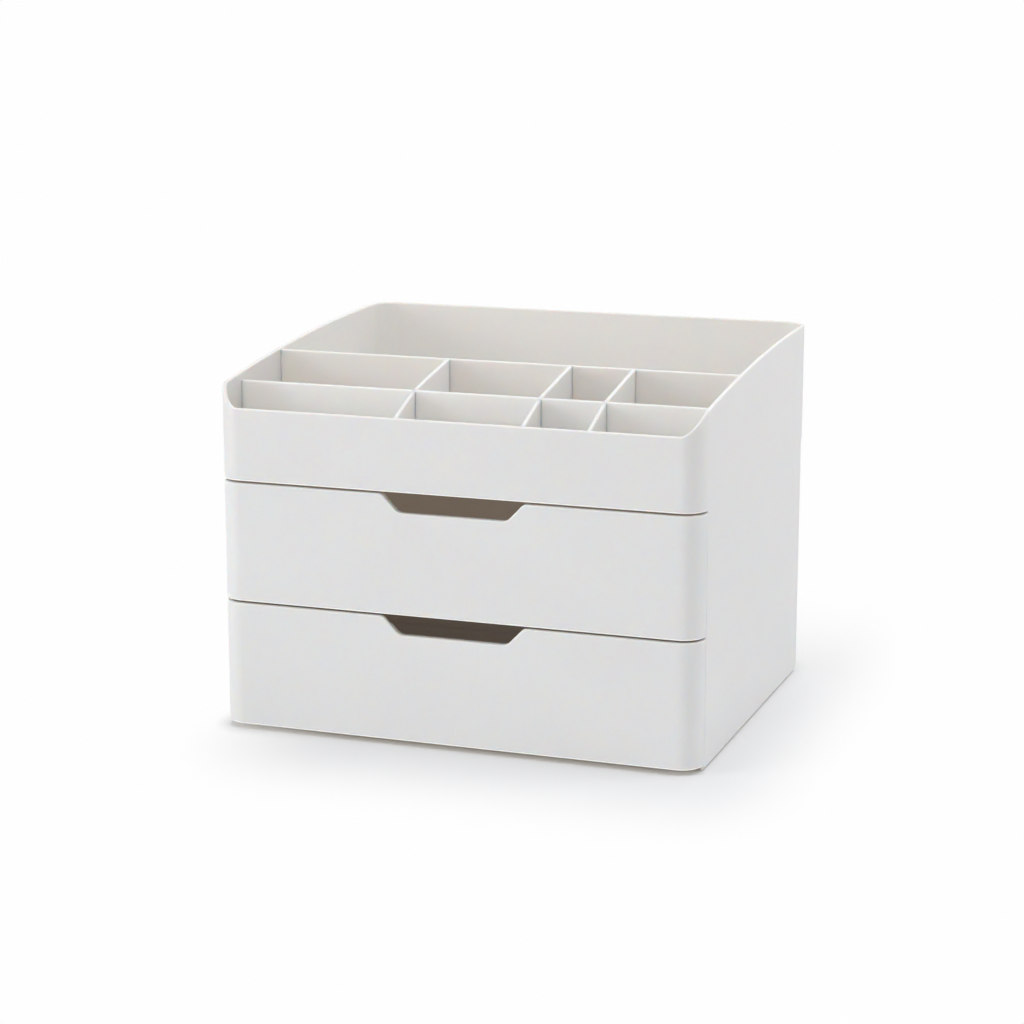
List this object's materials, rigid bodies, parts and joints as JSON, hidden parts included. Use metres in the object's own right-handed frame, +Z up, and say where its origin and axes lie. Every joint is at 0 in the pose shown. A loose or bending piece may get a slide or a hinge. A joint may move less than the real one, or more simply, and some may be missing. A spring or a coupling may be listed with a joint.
{
  "type": "make-up organiser with drawers",
  "caption": "Desktop organiser with an open divided tray on top and full-width sliding drawers below, each opened by a finger notch in its front.",
  "frame": {"origin": "on the table, under the middle of the organiser", "axes": "+X to the right seen from the front, +Y from the drawer fronts to the back, +Z up"},
  "size_m": [0.26, 0.221, 0.1981],
  "materials": {
    "white_plastic": "white satin moulded plastic with a faint fine grain",
    "rubber": "dark matt rubber pads"
  },
  "bodies": {
    "cabinet": {"tray_shell": "white_plastic", "tray_floor": "white_plastic", "divider_middle": "white_plastic", "divider_rear": "white_plastic", "divider_left": "white_plastic", "divider_centre": "white_plastic", "divider_right": "white_plastic", "drawer_shelf": "white_plastic", "back_panel": "white_plastic", "base_plate": "white_plastic", "foot_front_left": "rubber", "foot_front_right": "rubber", "foot_rear_left": "rubber", "foot_rear_right": "rubber"},
    "upper_drawer": {"upper_drawer_front": "white_plastic", "upper_drawer_box": "white_plastic"},
    "lower_drawer": {"lower_drawer_front": "white_plastic", "lower_drawer_box": "white_plastic"}
  },
  "joints": [
    {"name": "upper_drawer_slide", "type": "slide", "parent": "cabinet", "child": "upper_drawer", "axis": [0, -1, 0], "range_m": [0, 0.15]},
    {"name": "lower_drawer_slide", "type": "slide", "parent": "cabinet", "child": "lower_drawer", "axis": [0, -1, 0], "range_m": [0, 0.15]}
  ]
}
